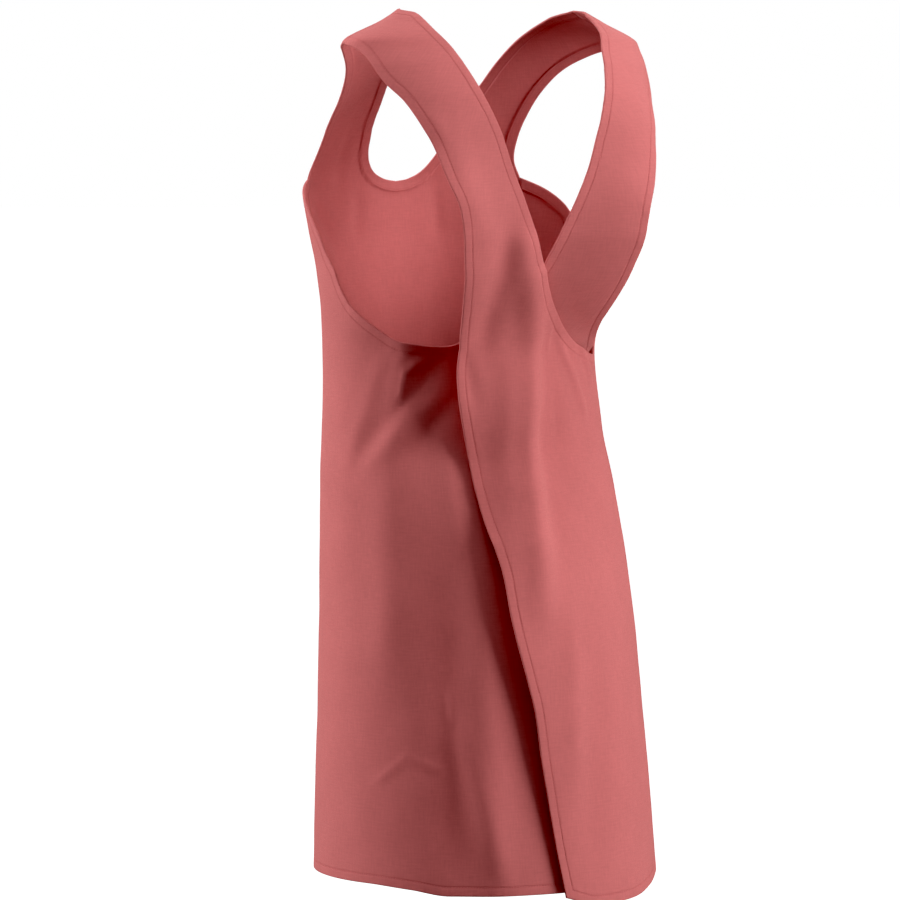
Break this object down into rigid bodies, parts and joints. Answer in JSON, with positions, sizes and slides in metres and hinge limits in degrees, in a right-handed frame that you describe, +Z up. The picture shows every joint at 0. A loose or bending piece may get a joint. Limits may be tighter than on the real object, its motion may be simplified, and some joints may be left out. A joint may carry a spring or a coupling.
{
  "type": "cross back apron",
  "caption": "Sleeveless cross-back work apron in worn form: shoulder straps widen into two back panels that cross over and hang free, with a scooped bib and open underarms.",
  "frame": {"origin": "midway between the two shoulder straps, level with their highest point", "axes": "+Z up along the wearer's body, +X to the wearer's left, -Y to the wearer's front"},
  "size_m": [0.3542, 0.3376, 0.8802],
  "materials": {
    "cloth": "matte plain-woven cotton and linen, coral red"
  },
  "bodies": {
    "root": {"front_panel": "cloth", "outer_back_panel": "cloth", "inner_back_panel": "cloth"}
  },
  "joints": []
}
